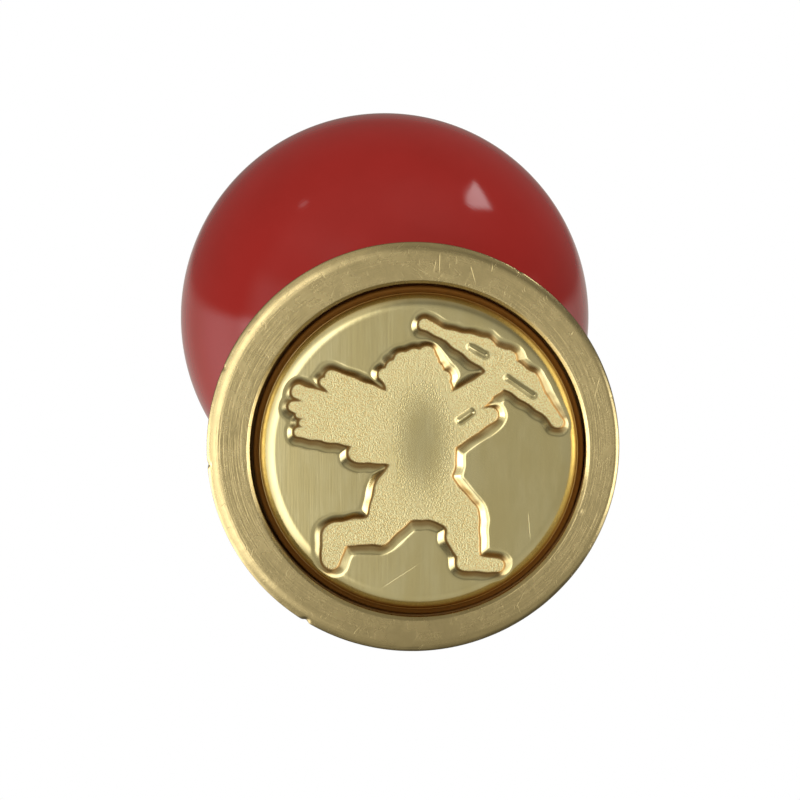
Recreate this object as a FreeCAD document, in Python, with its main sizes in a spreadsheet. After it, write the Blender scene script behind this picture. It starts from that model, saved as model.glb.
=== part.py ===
import FreeCAD, Part
import math
import os
import Sketcher

# Hand stamp for sealing wax: a turned brass head that carries an engraved disc,
# screwed to a lacquered turned handle by a threaded stud, with a brass ferrule
# over the end of the wood. It stands on the rim of its seal face, with the
# handle up, and the centre of that rim is the origin.

os.makedirs("parts", exist_ok=True)
doc = FreeCAD.newDocument("WaxSealStamp")

# Driving sizes in millimetres
driving_sizes = [
    # brass head
    ("rim_diameter", 25.0),
    ("rim_bevel", 0.25),
    ("rim_taper", 0.7),
    ("boss_diameter", 15.0),
    ("boss_bevel", 0.5),
    ("head_height", 14.0),
    ("seat_diameter", 20.4),
    ("seat_depth", 3.0),
    ("seat_bevel", 0.2),
    ("seat_across", 0.3),
    ("seat_down", 0.2),
    ("seat_floor", 1.2),
    # engraved disc
    ("disc_clearance", 0.2),
    ("disc_across", 0.06),
    ("disc_down", 0.16),
    ("disc_thickness", 2.5),
    ("ledge_thickness", 0.9),
    ("groove_width", 0.6),
    ("shoulder_radius", 1.0),
    ("shoulder_width", 0.85),
    ("figure_margin", 0.6),
    ("figure_across", 0.1),
    ("figure_rise", 0.16),
    ("figure_depth", 0.45),
    # stud and the holes that take it
    ("thread_diameter", 6.0),
    ("thread_clearance", 0.05),
    ("thread_engagement", 8.0),
    ("hole_spare", 0.6),
    ("hole_mouth", 0.5),
    ("stud_length", 24.0),
    ("stud_bevel", 0.6),
    # ferrule
    ("ferrule_height", 7.0),
    ("ferrule_wall", 0.7),
    ("ferrule_bead", 0.6),
    ("ferrule_bevel", 0.4),
    # wooden handle
    ("tenon_clearance", 0.05),
    ("tenon_relief", 0.2),
    ("ring_width", 3.0),
    ("ring_diameter", 17.6),
    ("neck_base_diameter", 13.0),
    ("neck_diameter", 9.0),
    ("cove_radius", 4.0),
    ("ball_diameter", 27.0),
    ("handle_length", 66.0),
]

# The engraved winged archer, limb by limb: the centre and radius of each end of
# the limb, as shares of the figure's height, from the lower left corner of the
# square that frames the figure as the seal face is looked at.
figure_limbs = [
    ("Head", 0.476, 0.768, 0.104, 0.471, 0.742, 0.104),
    ("HairLeft", 0.398, 0.806, 0.032, 0.370, 0.776, 0.030),
    ("HairRight", 0.548, 0.826, 0.032, 0.592, 0.758, 0.030),
    ("Torso", 0.489, 0.640, 0.139, 0.515, 0.455, 0.117),
    ("Hips", 0.475, 0.330, 0.143, 0.490, 0.330, 0.143),
    ("BowArm", 0.614, 0.646, 0.062, 0.767, 0.746, 0.048),
    ("DrawArm", 0.618, 0.560, 0.056, 0.757, 0.628, 0.031),
    ("FeatherOne", 0.328, 0.650, 0.082, 0.166, 0.774, 0.024),
    ("FeatherTwo", 0.300, 0.610, 0.060, 0.048, 0.715, 0.025),
    ("FeatherThree", 0.332, 0.609, 0.080, 0.028, 0.659, 0.022),
    ("FeatherFour", 0.240, 0.602, 0.044, 0.060, 0.610, 0.018),
    ("FeatherFive", 0.340, 0.570, 0.078, 0.049, 0.563, 0.021),
    ("FeatherSix", 0.379, 0.527, 0.086, 0.262, 0.483, 0.034),
    ("RearThigh", 0.425, 0.330, 0.100, 0.345, 0.193, 0.055),
    ("RearCalf", 0.338, 0.195, 0.055, 0.190, 0.180, 0.046),
    ("RearFoot", 0.182, 0.172, 0.052, 0.166, 0.083, 0.035),
    ("FrontThigh", 0.550, 0.325, 0.095, 0.655, 0.250, 0.062),
    ("FrontShin", 0.654, 0.228, 0.065, 0.676, 0.107, 0.046),
    ("FrontFoot", 0.667, 0.073, 0.035, 0.785, 0.061, 0.028),
    ("BowTopTip", 0.516, 0.965, 0.024, 0.600, 0.922, 0.019),
    ("BowTopLimb", 0.594, 0.924, 0.020, 0.713, 0.893, 0.030),
    ("BowTopRoot", 0.702, 0.897, 0.027, 0.795, 0.845, 0.034),
    ("BowGrip", 0.796, 0.800, 0.055, 0.828, 0.842, 0.032),
    ("BowLowRoot", 0.846, 0.798, 0.034, 0.915, 0.752, 0.027),
    ("BowLowLimb", 0.909, 0.759, 0.030, 0.957, 0.672, 0.022),
    ("BowLowTip", 0.953, 0.679, 0.024, 1.010, 0.598, 0.024),
    ("StringTop", 0.521, 0.950, 0.012, 0.755, 0.768, 0.011),
    ("StringLow", 0.787, 0.735, 0.012, 1.010, 0.580, 0.013),
]

field_diameter = "(sizes.seat_diameter - 2 * sizes.groove_width)"
figure_height = f"({field_diameter} - 2 * sizes.shoulder_width - 2 * sizes.figure_margin)"

sheet = doc.addObject("Spreadsheet::Sheet", "sizes")
for row, (alias, value) in enumerate(driving_sizes, start=1):
    sheet.set(f"A{row}", alias)
    sheet.set(f"B{row}", str(value))
    sheet.setAlias(f"B{row}", alias)
doc.recompute()

origin_point = (-1, 1)
same_place = 0.001
up = FreeCAD.Vector(0, 0, 1)
face_down = FreeCAD.Rotation(FreeCAD.Vector(1, 0, 0), 180)


def size(alias):
    return float(sheet.get(alias))


def point(x, y):
    return FreeCAD.Vector(x, y, 0)


def new_body(label, height=None, across=None, along=None):
    body = doc.addObject("PartDesign::Body", label)
    body.Label = label
    if height:
        body.setExpression("Placement.Base.z", height)
    if across:
        body.setExpression("Placement.Base.x", across)
    if along:
        body.setExpression("Placement.Base.y", along)
    return body


def new_sketch(body, name, role):
    plane = [item for item in body.Origin.OriginFeatures if item.Role == role][0]
    sketch = body.newObject("Sketcher::SketchObject", name)
    sketch.AttachmentSupport = [(plane, "")]
    sketch.MapMode = "FlatFace"
    return sketch


def add_lines(sketch, points):
    first = sketch.GeometryCount
    for start, end in zip(points, points[1:]):
        sketch.addGeometry(Part.LineSegment(point(*start), point(*end)))
    return list(range(first, sketch.GeometryCount))


def add_arc(sketch, centre, radius, start, end):
    circle = Part.Circle(point(*centre), up, radius)
    return sketch.addGeometry(Part.ArcOfCircle(circle, start, end))


def join(sketch, pairs, kind="Coincident"):
    for first, first_end, second, second_end in pairs:
        sketch.addConstraint(Sketcher.Constraint(kind, first, first_end, second, second_end))


def settle(sketch, kind, lines):
    for line in lines:
        sketch.addConstraint(Sketcher.Constraint(kind, line))


def dimension(sketch, name, expression, kind, *where):
    number = sketch.addConstraint(Sketcher.Constraint(kind, *where, sheet.evalExpression(expression)))
    sketch.renameConstraint(number, name)
    sketch.setExpression(f"Constraints.{name}", expression)


def locate(sketch, name, geometry, end, across=None, along=None):
    if across:
        dimension(sketch, f"{name}Across", across, "DistanceX", *origin_point, geometry, end)
    if along:
        dimension(sketch, f"{name}Along", along, "DistanceY", *origin_point, geometry, end)


def turn(body, sketch, name):
    feature = body.newObject("PartDesign::Revolution", name)
    feature.Profile = sketch
    feature.ReferenceAxis = (sketch, ["V_Axis"])
    feature.Angle = 360
    doc.recompute()
    return feature


def add_circle(sketch, diameter):
    circle = sketch.addGeometry(Part.Circle(point(0, 0), up, 1))
    join(sketch, [(circle, 3, *origin_point)])
    dimension(sketch, "diameter", diameter, "Diameter", circle)


def circle_edges(feature, diameter, height):
    # names of the feature's round edges of one diameter at one height
    names = []
    for number, edge in enumerate(feature.Shape.Edges, start=1):
        curve = edge.Curve
        if not isinstance(curve, Part.Circle):
            continue
        if abs(2 * curve.Radius - diameter) < same_place and abs(curve.Center.z - height) < same_place:
            names.append(f"Edge{number}")
    return names


def bevel(body, name, base, edges, width):
    feature = body.newObject("PartDesign::Chamfer", name)
    feature.Base = (base, edges)
    feature.setExpression("Size", width)
    doc.recompute()
    return feature


def drill(body, name, sketch, diameter, depth):
    feature = body.newObject("PartDesign::Hole", name)
    feature.Profile = sketch
    feature.DepthType = "Dimension"
    feature.DrillPoint = "Flat"
    feature.setExpression("Diameter", diameter)
    feature.setExpression("Depth", depth)
    doc.recompute()
    return feature


def removed(base, feature):
    # a cut that points away from the solid takes nothing off it
    lost = base.Shape.Volume - feature.Shape.Volume
    if lost <= 0:
        raise RuntimeError(f"{feature.Label} cuts nothing")
    return lost


# Brass head: rim, bell-shaped back, boss, seat for the disc and tapped hole
head = new_body("seal_head")
rim = size("rim_diameter") / 2
shade = rim - size("rim_taper")
boss = size("boss_diameter") / 2
bell = shade - boss
bell_foot = size("seat_depth") + size("seat_floor")
top = size("head_height")
profile = new_sketch(head, "HeadProfile", "XZ_Plane")
below = add_lines(profile, [
    (0, 0),
    (rim - size("rim_bevel"), 0),
    (rim, size("rim_bevel")),
    (shade, bell_foot),
])
curve = add_arc(profile, (shade, bell_foot + bell), bell, math.pi, 1.5 * math.pi)
above = add_lines(profile, [
    (boss, bell_foot + bell),
    (boss, top - size("boss_bevel")),
    (boss - size("boss_bevel"), top),
    (0, top),
    (0, 0),
])
join(profile, [(a, 2, b, 1) for a, b in zip(below, below[1:])])
join(profile, [(a, 2, b, 1) for a, b in zip(above, above[1:])])
join(profile, [(below[2], 2, curve, 2), (above[3], 2, below[0], 1)])
join(profile, [(curve, 1, above[0], 1)], "Tangent")
join(profile, [(below[0], 1, *origin_point)])
settle(profile, "Horizontal", [below[0], above[2]])
settle(profile, "Vertical", [above[0], above[3]])
profile.addConstraint(Sketcher.Constraint("Vertical", below[2], 2, curve, 3))
locate(profile, "rim", below[2], 1, "sizes.rim_diameter / 2", "sizes.rim_bevel")
locate(profile, "face", below[0], 2, "sizes.rim_diameter / 2 - sizes.rim_bevel")
locate(
    profile,
    "back",
    below[2],
    2,
    "sizes.rim_diameter / 2 - sizes.rim_taper",
    "sizes.seat_depth + sizes.seat_floor",
)
locate(profile, "boss", above[0], 2, "sizes.boss_diameter / 2", "sizes.head_height - sizes.boss_bevel")
locate(profile, "top", above[1], 2, "sizes.boss_diameter / 2 - sizes.boss_bevel", "sizes.head_height")
turned = turn(head, profile, "HeadTurned")

seat_sketch = new_sketch(head, "SeatCircle", "XY_Plane")
seat_sketch.setExpression("AttachmentOffset.Base.x", "sizes.seat_across")
seat_sketch.setExpression("AttachmentOffset.Base.y", "sizes.seat_down")
add_circle(seat_sketch, "sizes.seat_diameter")
seat = head.newObject("PartDesign::Pocket", "Seat")
seat.Profile = seat_sketch
seat.Reversed = True
seat.setExpression("Length", "sizes.seat_depth")
doc.recompute()
removed(turned, seat)
seat_edges = circle_edges(seat, size("seat_diameter"), 0)
seat_bevel = bevel(head, "SeatBevel", seat, seat_edges, "sizes.seat_bevel")

tap_sketch = new_sketch(head, "TapCircle", "XY_Plane")
tap_sketch.setExpression("AttachmentOffset.Base.z", "sizes.head_height")
add_circle(tap_sketch, "sizes.thread_diameter")
doc.recompute()
tapped = drill(
    head,
    "TappedHole",
    tap_sketch,
    "sizes.thread_diameter + 2 * sizes.thread_clearance",
    "sizes.thread_engagement + sizes.hole_spare",
)
removed(seat_bevel, tapped)
bore = size("thread_diameter") + 2 * size("thread_clearance")
bevel(head, "HoleMouth", tapped, circle_edges(tapped, bore, top), "sizes.hole_mouth")

# Engraved disc: a ledge that fills the seat and a raised round field with a
# soft shoulder, seated on the floor of the head's recess
disc = new_body(
    "die_disc",
    "sizes.seat_depth - sizes.disc_thickness",
    "sizes.seat_across + sizes.disc_across",
    "sizes.seat_down + sizes.disc_down",
)
field = sheet.evalExpression(field_diameter) / 2
soft = size("shoulder_radius")
flat = field - size("shoulder_width")
slope = math.asin(size("shoulder_width") / soft)
ledge = size("seat_diameter") / 2 - size("disc_clearance")
back = size("disc_thickness")
ledge_face = back - size("ledge_thickness")
disc_profile = new_sketch(disc, "DiscProfile", "XZ_Plane")
face_line = add_lines(disc_profile, [(0, 0), (flat, 0)])
shoulder = add_arc(disc_profile, (flat, soft), soft, -math.pi / 2, slope - math.pi / 2)
side = add_lines(disc_profile, [
    (field, soft * (1 - math.cos(slope))),
    (field, ledge_face),
    (ledge, ledge_face),
    (ledge, back),
    (0, back),
    (0, 0),
])
join(disc_profile, [(face_line[0], 2, shoulder, 1)], "Tangent")
join(disc_profile, [(shoulder, 2, side[0], 1)])
join(disc_profile, [(a, 2, b, 1) for a, b in zip(side, side[1:] + face_line)])
join(disc_profile, [(face_line[0], 1, *origin_point)])
settle(disc_profile, "Horizontal", [face_line[0], side[1], side[3]])
settle(disc_profile, "Vertical", [side[0], side[2], side[4]])
dimension(disc_profile, "shoulder", "sizes.shoulder_radius", "Radius", shoulder)
ledge_reach = "sizes.seat_diameter / 2 - sizes.disc_clearance"
ledge_along = "sizes.disc_thickness - sizes.ledge_thickness"
locate(disc_profile, "flat", face_line[0], 2, f"{field_diameter} / 2 - sizes.shoulder_width")
locate(disc_profile, "field", side[0], 2, f"{field_diameter} / 2", ledge_along)
locate(disc_profile, "ledge", side[2], 2, ledge_reach, "sizes.disc_thickness")
carved = turn(disc, disc_profile, "DiscTurned")


def engrave(base, name, x0, y0, r0, x1, y1, r1):
    # one limb: two round ends joined by the lines that touch both
    scale = sheet.evalExpression(figure_height)
    lean = math.atan2(y1 - y0, x1 - x0)
    spread = math.acos((r0 - r1) / math.hypot(x1 - x0, y1 - y0))
    ends = [
        (scale * (x + r * math.cos(lean + way)), scale * (y + r * math.sin(lean + way)))
        for x, y, r in ((x0, y0, r0), (x1, y1, r1))
        for way in (spread, -spread)
    ]
    sketch = new_sketch(disc, f"{name}Outline", "XY_Plane")
    sketch.AttachmentOffset = FreeCAD.Placement(point(0, 0), face_down)
    sketch.setExpression("AttachmentOffset.Base.x", f"sizes.figure_across - {figure_height} / 2")
    sketch.setExpression("AttachmentOffset.Base.y", f"{figure_height} / 2 - sizes.figure_rise")
    rear = add_arc(sketch, (scale * x0, scale * y0), scale * r0, lean + spread, lean - spread + 2 * math.pi)
    fore = add_arc(sketch, (scale * x1, scale * y1), scale * r1, lean - spread, lean + spread)
    left = add_lines(sketch, [ends[0], ends[2]])[0]
    right = add_lines(sketch, [ends[3], ends[1]])[0]
    touching = [(rear, 1, left, 1), (left, 2, fore, 2), (fore, 1, right, 1), (right, 2, rear, 2)]
    join(sketch, touching, "Tangent")
    for label, arc, x, y, r in (("rear", rear, x0, y0, r0), ("fore", fore, x1, y1, r1)):
        share = [f"{figure_height} * {number}" for number in (x, y, r)]
        locate(sketch, label, arc, 3, share[0], share[1])
        dimension(sketch, f"{label}Radius", share[2], "Radius", arc)
    cut = disc.newObject("PartDesign::Pocket", f"{name}Cut")
    cut.Profile = sketch
    cut.setExpression("Length", "sizes.figure_depth")
    doc.recompute()
    removed(base, cut)
    return cut


for limb in figure_limbs:
    carved = engrave(carved, *limb)

# Ferrule: a thin brass tube over the tenon, with a bead rolled at its top
ferrule = new_body("ferrule", "sizes.head_height")
wall_outer = size("boss_diameter") / 2
wall_inner = wall_outer - size("ferrule_wall")
bead = size("ferrule_bead")
tall = size("ferrule_height")
corner = size("ferrule_bevel")
tube = new_sketch(ferrule, "FerruleProfile", "XZ_Plane")
outside = add_lines(tube, [
    (wall_inner, 0),
    (wall_outer - corner, 0),
    (wall_outer, corner),
    (wall_outer, tall - 2 * bead),
])
roll = add_arc(tube, (wall_outer, tall - bead), bead, -math.pi / 2, math.pi / 2)
inside = add_lines(tube, [(wall_outer, tall), (wall_inner, tall), (wall_inner, 0)])
join(tube, [(a, 2, b, 1) for a, b in zip(outside, outside[1:])])
join(tube, [(outside[2], 2, roll, 1), (roll, 2, inside[0], 1)])
join(tube, [(inside[0], 2, inside[1], 1), (inside[1], 2, outside[0], 1)])
settle(tube, "Horizontal", [outside[0], inside[0]])
settle(tube, "Vertical", [outside[2], inside[1]])
tube.addConstraint(Sketcher.Constraint("Vertical", roll, 1, roll, 3))
tube.addConstraint(Sketcher.Constraint("Vertical", roll, 2, roll, 3))
tube.addConstraint(Sketcher.Constraint("PointOnObject", outside[0], 1, -1))
dimension(tube, "bead", "sizes.ferrule_bead", "Radius", roll)
locate(tube, "bore", outside[0], 1, "sizes.boss_diameter / 2 - sizes.ferrule_wall")
locate(tube, "foot", outside[0], 2, "sizes.boss_diameter / 2 - sizes.ferrule_bevel")
locate(tube, "wall", outside[2], 1, "sizes.boss_diameter / 2", "sizes.ferrule_bevel")
locate(tube, "height", inside[0], 2, None, "sizes.ferrule_height")
turn(ferrule, tube, "FerruleTurned")

# Stud: screwed into the head, fast in the wood
stud = new_body("stud", "sizes.head_height - sizes.thread_engagement")
stud_sketch = new_sketch(stud, "StudCircle", "XY_Plane")
add_circle(stud_sketch, "sizes.thread_diameter")
rod = stud.newObject("PartDesign::Pad", "StudRod")
rod.Profile = stud_sketch
rod.setExpression("Length", "sizes.stud_length")
doc.recompute()
rod_ends = [
    name
    for height in (0, size("stud_length"))
    for name in circle_edges(rod, size("thread_diameter"), height)
]
bevel(stud, "StudEnds", rod, rod_ends, "sizes.stud_bevel")

# Wooden handle: tenon, turned ring, neck, cove and ball, in one profile
handle = new_body("wooden_handle", "sizes.head_height")
tenon = wall_inner - size("tenon_clearance")
relief = size("tenon_relief")
ring_radius = size("ring_width") / 2
ring_centre = size("ring_diameter") / 2 - ring_radius
ring_top = tall + size("ring_width")
neck_base = size("neck_base_diameter") / 2
cove = size("cove_radius")
ball = size("ball_diameter") / 2
ball_centre = size("handle_length") - ball
cove_across = size("neck_diameter") / 2 + cove
cove_along = ball_centre - math.sqrt((ball + cove) ** 2 - cove_across ** 2)
meet = (cove_across * ball / (ball + cove), ball_centre - (ball_centre - cove_along) * ball / (ball + cove))
reach = math.hypot(cove_across - neck_base, cove_along - ring_top)
touch = math.atan2(ring_top - cove_along, neck_base - cove_across) - math.acos(cove / reach)
neck = (cove_across + cove * math.cos(touch), cove_along + cove * math.sin(touch))
rise = math.atan2(meet[1] - cove_along, meet[0] - cove_across)
wood = new_sketch(handle, "HandleProfile", "XZ_Plane")
base = add_lines(wood, [(0, relief), (tenon, relief), (tenon, tall), (ring_centre, tall)])
ring = add_arc(wood, (ring_centre, tall + ring_radius), ring_radius, -math.pi / 2, math.pi / 2)
stem = add_lines(wood, [(ring_centre, ring_top), (neck_base, ring_top), neck])
hollow = add_arc(wood, (cove_across, cove_along), cove, rise, touch % (2 * math.pi))
bulb = add_arc(wood, (0, ball_centre), ball, math.atan2(meet[1] - ball_centre, meet[0]), math.pi / 2)
axis = add_lines(wood, [(0, size("handle_length")), (0, relief)])[0]
join(wood, [(a, 2, b, 1) for a, b in zip(base, base[1:])])
join(wood, [(base[2], 2, ring, 1), (ring, 2, stem[0], 1), (stem[0], 2, stem[1], 1)])
join(wood, [(stem[1], 2, hollow, 2), (hollow, 1, bulb, 1)], "Tangent")
join(wood, [(bulb, 2, axis, 1), (axis, 2, base[0], 1)])
settle(wood, "Horizontal", [base[0], base[2], stem[0]])
settle(wood, "Vertical", [base[1], axis])
wood.addConstraint(Sketcher.Constraint("Vertical", ring, 1, ring, 3))
wood.addConstraint(Sketcher.Constraint("Vertical", ring, 2, ring, 3))
wood.addConstraint(Sketcher.Constraint("PointOnObject", bulb, 3, -2))
wood.addConstraint(Sketcher.Constraint("PointOnObject", bulb, 2, -2))
tenon_reach = "sizes.boss_diameter / 2 - sizes.ferrule_wall - sizes.tenon_clearance"
locate(wood, "tenon", base[0], 2, tenon_reach, "sizes.tenon_relief")
locate(wood, "ring", ring, 1, "sizes.ring_diameter / 2 - sizes.ring_width / 2", "sizes.ferrule_height")
dimension(wood, "ringRound", "sizes.ring_width / 2", "Radius", ring)
locate(wood, "neckBase", stem[0], 2, "sizes.neck_base_diameter / 2")
locate(wood, "cove", hollow, 3, "sizes.neck_diameter / 2 + sizes.cove_radius")
dimension(wood, "coveRound", "sizes.cove_radius", "Radius", hollow)
locate(wood, "ball", bulb, 3, None, "sizes.handle_length - sizes.ball_diameter / 2")
dimension(wood, "ballRound", "sizes.ball_diameter / 2", "Radius", bulb)
turned_wood = turn(handle, wood, "HandleTurned")

socket_sketch = new_sketch(handle, "SocketCircle", "XY_Plane")
socket_sketch.AttachmentOffset = FreeCAD.Placement(point(0, 0), face_down)
socket_sketch.setExpression("AttachmentOffset.Base.z", "sizes.tenon_relief")
add_circle(socket_sketch, "sizes.thread_diameter")
doc.recompute()
socket = drill(
    handle,
    "StudSocket",
    socket_sketch,
    "sizes.thread_diameter + 2 * sizes.thread_clearance",
    "sizes.stud_length - sizes.thread_engagement - sizes.tenon_relief",
)
removed(turned_wood, socket)

doc.recompute()
pieces = [head, disc, ferrule, stud, handle]
for item in doc.Objects:
    if "Invalid" in item.State or "Error" in item.State:
        raise RuntimeError(f"{item.Label} failed: {item.State}")
for piece in pieces:
    if piece.Shape.isNull() or not piece.Shape.isValid() or len(piece.Shape.Solids) != 1:
        raise RuntimeError(f"{piece.Label} is not one sound solid")
for piece in pieces:
    piece.Shape.exportStep(f"parts/{piece.Label}.step")
    box = piece.Shape.BoundBox
    print(f"{piece.Label}: {piece.Shape.Volume:.1f} mm3, z {box.ZMin:.2f} to {box.ZMax:.2f}")
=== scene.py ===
import math
import random

import bpy
import numpy as np
from mathutils import Matrix, Vector


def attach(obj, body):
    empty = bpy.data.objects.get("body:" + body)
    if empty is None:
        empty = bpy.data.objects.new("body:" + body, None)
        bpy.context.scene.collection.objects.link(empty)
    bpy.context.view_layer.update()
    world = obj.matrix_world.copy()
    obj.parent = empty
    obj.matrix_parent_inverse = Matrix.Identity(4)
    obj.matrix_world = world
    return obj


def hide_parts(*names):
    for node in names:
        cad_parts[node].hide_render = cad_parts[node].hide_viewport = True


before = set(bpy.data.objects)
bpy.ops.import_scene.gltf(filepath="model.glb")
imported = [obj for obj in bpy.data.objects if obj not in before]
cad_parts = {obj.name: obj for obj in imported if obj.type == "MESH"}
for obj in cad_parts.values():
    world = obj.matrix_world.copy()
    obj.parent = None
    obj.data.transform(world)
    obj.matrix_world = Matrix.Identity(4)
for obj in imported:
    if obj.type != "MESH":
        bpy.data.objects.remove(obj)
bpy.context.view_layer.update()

mm = 0.001  # the pieces are written in millimetres, Blender and the studio are in metres
fullTurn = 2 * math.pi
anyPhase = (0, 6.28)  # range of a random start on a wave
white = (1.0, 1.0, 1.0, 1.0)


class Wire:  # a shader socket that can stand in a sum
    def __init__(self, tree, socket=None):
        self.tree = tree
        self.socket = socket

    def node(self, kind, settings=None, links=None, output=0):
        made = self.tree.nodes.new("ShaderNode" + kind)
        for name, value in (settings or {}).items():
            setattr(made, name, value)
        for name, value in (links or {}).items():
            if isinstance(value, Wire):
                self.tree.links.new(value.socket, made.inputs[name])
            else:
                made.inputs[name].default_value = value
        return Wire(self.tree, made.outputs[output] if len(made.outputs) else None)

    def sum(self, operation, *terms):
        return self.node("Math", {"operation": operation}, dict(enumerate(terms)))

    def __add__(self, other):
        return self.sum("ADD", self, other)

    def __radd__(self, other):
        return self.sum("ADD", other, self)

    def __sub__(self, other):
        return self.sum("SUBTRACT", self, other)

    def __rsub__(self, other):
        return self.sum("SUBTRACT", other, self)

    def __mul__(self, other):
        return self.sum("MULTIPLY", self, other)

    def __rmul__(self, other):
        return self.sum("MULTIPLY", other, self)

    def __truediv__(self, other):
        return self.sum("DIVIDE", self, other)

    def __pow__(self, other):
        return self.sum("POWER", self, other)

    def __abs__(self):
        return self.sum("ABSOLUTE", self)

    def smooth(self, low, high):  # 0 at low, 1 at high, soft between
        ends = {"Value": self, "From Min": low, "From Max": high}
        return self.node("MapRange", {"interpolation_type": "SMOOTHSTEP"}, ends)

    def colour(self, first, second):  # first where this is 0, second where it is 1
        return self.node("Mix", {"data_type": "RGBA"}, {0: self, 6: first, 7: second}, 2)

    def parts(self):
        split = self.node("SeparateXYZ", {}, {0: self})
        outputs = split.socket.node.outputs
        return [Wire(self.tree, outputs[axis]) for axis in range(3)]

    def vector(self, x, y, z):
        return self.node("CombineXYZ", {}, {0: x, 1: y, 2: z})

    def scaled(self, factor):
        return self.node("VectorMath", {"operation": "SCALE"}, {0: self, "Scale": factor})

    def towards(self, direction):  # cosine of the angle to a direction
        return self.node("VectorMath", {"operation": "DOT_PRODUCT"}, {0: self, 1: direction}, "Value")

    def noise(self, size, detail=2.0, rough=0.5):  # size: one lump, in the units of this vector
        links = {"Vector": self, "Scale": 1 / size, "Detail": detail, "Roughness": rough}
        return self.node("TexNoise", {}, links, "Fac")

    def centred(self, middle=0.5):  # noise as a swing to both sides of 0
        return self - middle

    def bump(self):  # this is a height in millimetres
        return self.node("Bump", {}, {"Strength": 1.0, "Distance": mm, "Height": self})


def newMaterial(name):
    made = bpy.data.materials.new(name)
    made.use_nodes = True
    made.node_tree.nodes.clear()
    start = Wire(made.node_tree)
    place = start.node("TexCoord", {}, {}, "Object").scaled(1 / mm)  # millimetres on the piece
    return made, place


def closeMaterial(made, surface):
    surface.node("OutputMaterial", {}, {"Surface": surface})
    return made


def linear(red, green, blue):  # screen colour 0-255 to the shader's own values
    level = [c / 255 for c in (red, green, blue)]
    return tuple(c / 12.92 if c < 0.04045 else ((c + 0.055) / 1.055) ** 2.4 for c in level) + (1.0,)


def makeMesh(name, points, faces, body, node, material):
    mesh = bpy.data.meshes.new(name)
    mesh.from_pydata((np.asarray(points) * mm).tolist(), [], faces)
    mesh.validate()
    mesh.shade_smooth()
    mesh.materials.append(material)
    piece = bpy.data.objects.new(name, mesh)
    bpy.context.scene.collection.objects.link(piece)
    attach(piece, body)
    if node:
        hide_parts(node)
    print(name, "has", len(mesh.polygons), "faces")
    return piece


def roundCorners(corners, steps=5, hold=0.05, longSide=0.2, most=0.45):
    # a corner is radius, height and, where they aren't 0, rounding and share of the side shift
    path = []
    last = len(corners) - 1
    for index, corner in enumerate(corners):
        radius, height, rounding, share = (*corner, 0.0, 0.0)[:4]
        here = np.array((radius, height))
        if rounding == 0 or index in (0, last):
            path.append((radius, height, share))
            continue
        back = np.array(corners[index - 1][:2]) - here
        on = np.array(corners[index + 1][:2]) - here
        backLength = np.linalg.norm(back)
        onLength = np.linalg.norm(on)
        back = back / backLength
        on = on / onLength
        half = math.acos(max(-1.0, min(1.0, float(back @ on)))) / 2
        run = min(rounding / math.tan(half), most * backLength, most * onLength)
        reach = run * math.tan(half)
        middle = here + (back + on) / np.linalg.norm(back + on) * reach / math.sin(half)
        first = here + back * run - middle
        final = here + on * run - middle
        sweep = math.acos(max(-1.0, min(1.0, float(first @ final) / (reach * reach))))
        for step in range(steps + 1):
            part = step / steps
            arm = (math.sin((1 - part) * sweep) * first + math.sin(part * sweep) * final) / math.sin(sweep)
            path.append((*(middle + arm), share))
    held = [path[0]]
    for start, end in zip(path, path[1:]):  # extra rings keep flat faces flat beside a rounded edge
        start, end = np.array(start), np.array(end)
        length = np.linalg.norm(end - start)
        if length > longSide:
            held.append(tuple(start + (end - start) * hold / length))
            held.append(tuple(end - (end - start) * hold / length))
        held.append(tuple(end))
    return held


def arc(across, along, radius, start, end, steps):  # corners on a round stretch of a profile
    turns = np.linspace(start, end, steps)
    return [(across + radius * math.cos(turn), along + radius * math.sin(turn)) for turn in turns]


def turnProfile(path, segments, shift=(0.0, 0.0), onAxis=1e-6):  # points and faces of a turned piece
    angles = np.linspace(0, fullTurn, segments, endpoint=False)
    points = []
    rings = []
    for radius, height, share in path:
        across, along = shift[0] * share, shift[1] * share
        if radius < onAxis:
            rings.append([len(points)])
            points.append((across, along, height))
            continue
        rings.append(list(range(len(points), len(points) + segments)))
        ringX = across + radius * np.cos(angles)
        ringY = along + radius * np.sin(angles)
        points.extend(zip(ringX, ringY, [height] * segments))
    faces = []
    for low, high in zip(rings, rings[1:]):
        for index in range(segments):
            after = (index + 1) % segments
            if len(low) == 1:
                faces.append((low[0], high[after], high[index]))
            elif len(high) == 1:
                faces.append((low[index], low[after], high[0]))
            else:
                faces.append((low[index], low[after], high[after], high[index]))
    return np.array(points), faces


brassTones = {
    "clean": linear(232, 217, 162),
    "warm": linear(226, 209, 150),
    "rim": linear(218, 197, 142),
    # darker tone for random patches, and for the painted shade on the rim face
    "mottleAndShadeTone": linear(170, 151, 105),
    # dull brown for dirt in the recesses and for painted shade on the disc's walls and shoulder
    "dull": linear(154, 105, 39),
}
brassWear = {  # on all the brass; noise is given as size, detail and roughness
    "mottle": (1.4, 4.0, 0.65), "mottleFrom": (0.28, 0.72), "mottleTone": 0.28, "mottleRough": 0.12,
    "turning": (7.0, 6.0, 2.2), "turningNoise": (1.0, 3.0, 0.7),  # pace outward, upward and around
    "scratches": [(0.75, 3.0, 1.0), (2.2, 11.0, 0.7), (1.3, 29.0, 0.6)],  # slant, seed, size
    "scratchPace": (0.22, 1.3, 0.3), "scratchDetail": 1.0, "scratchWidth": 0.008, "scratchRough": 0.1,
    "patchSize": 1.3, "patchFrom": (0.60, 0.70), "strokeWidth": 0.05, "strokeFade": 0.3, "dirtMetal": 0.6,
}


def fromAxis(x, y):
    return (x * x + y * y) ** 0.5


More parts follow.
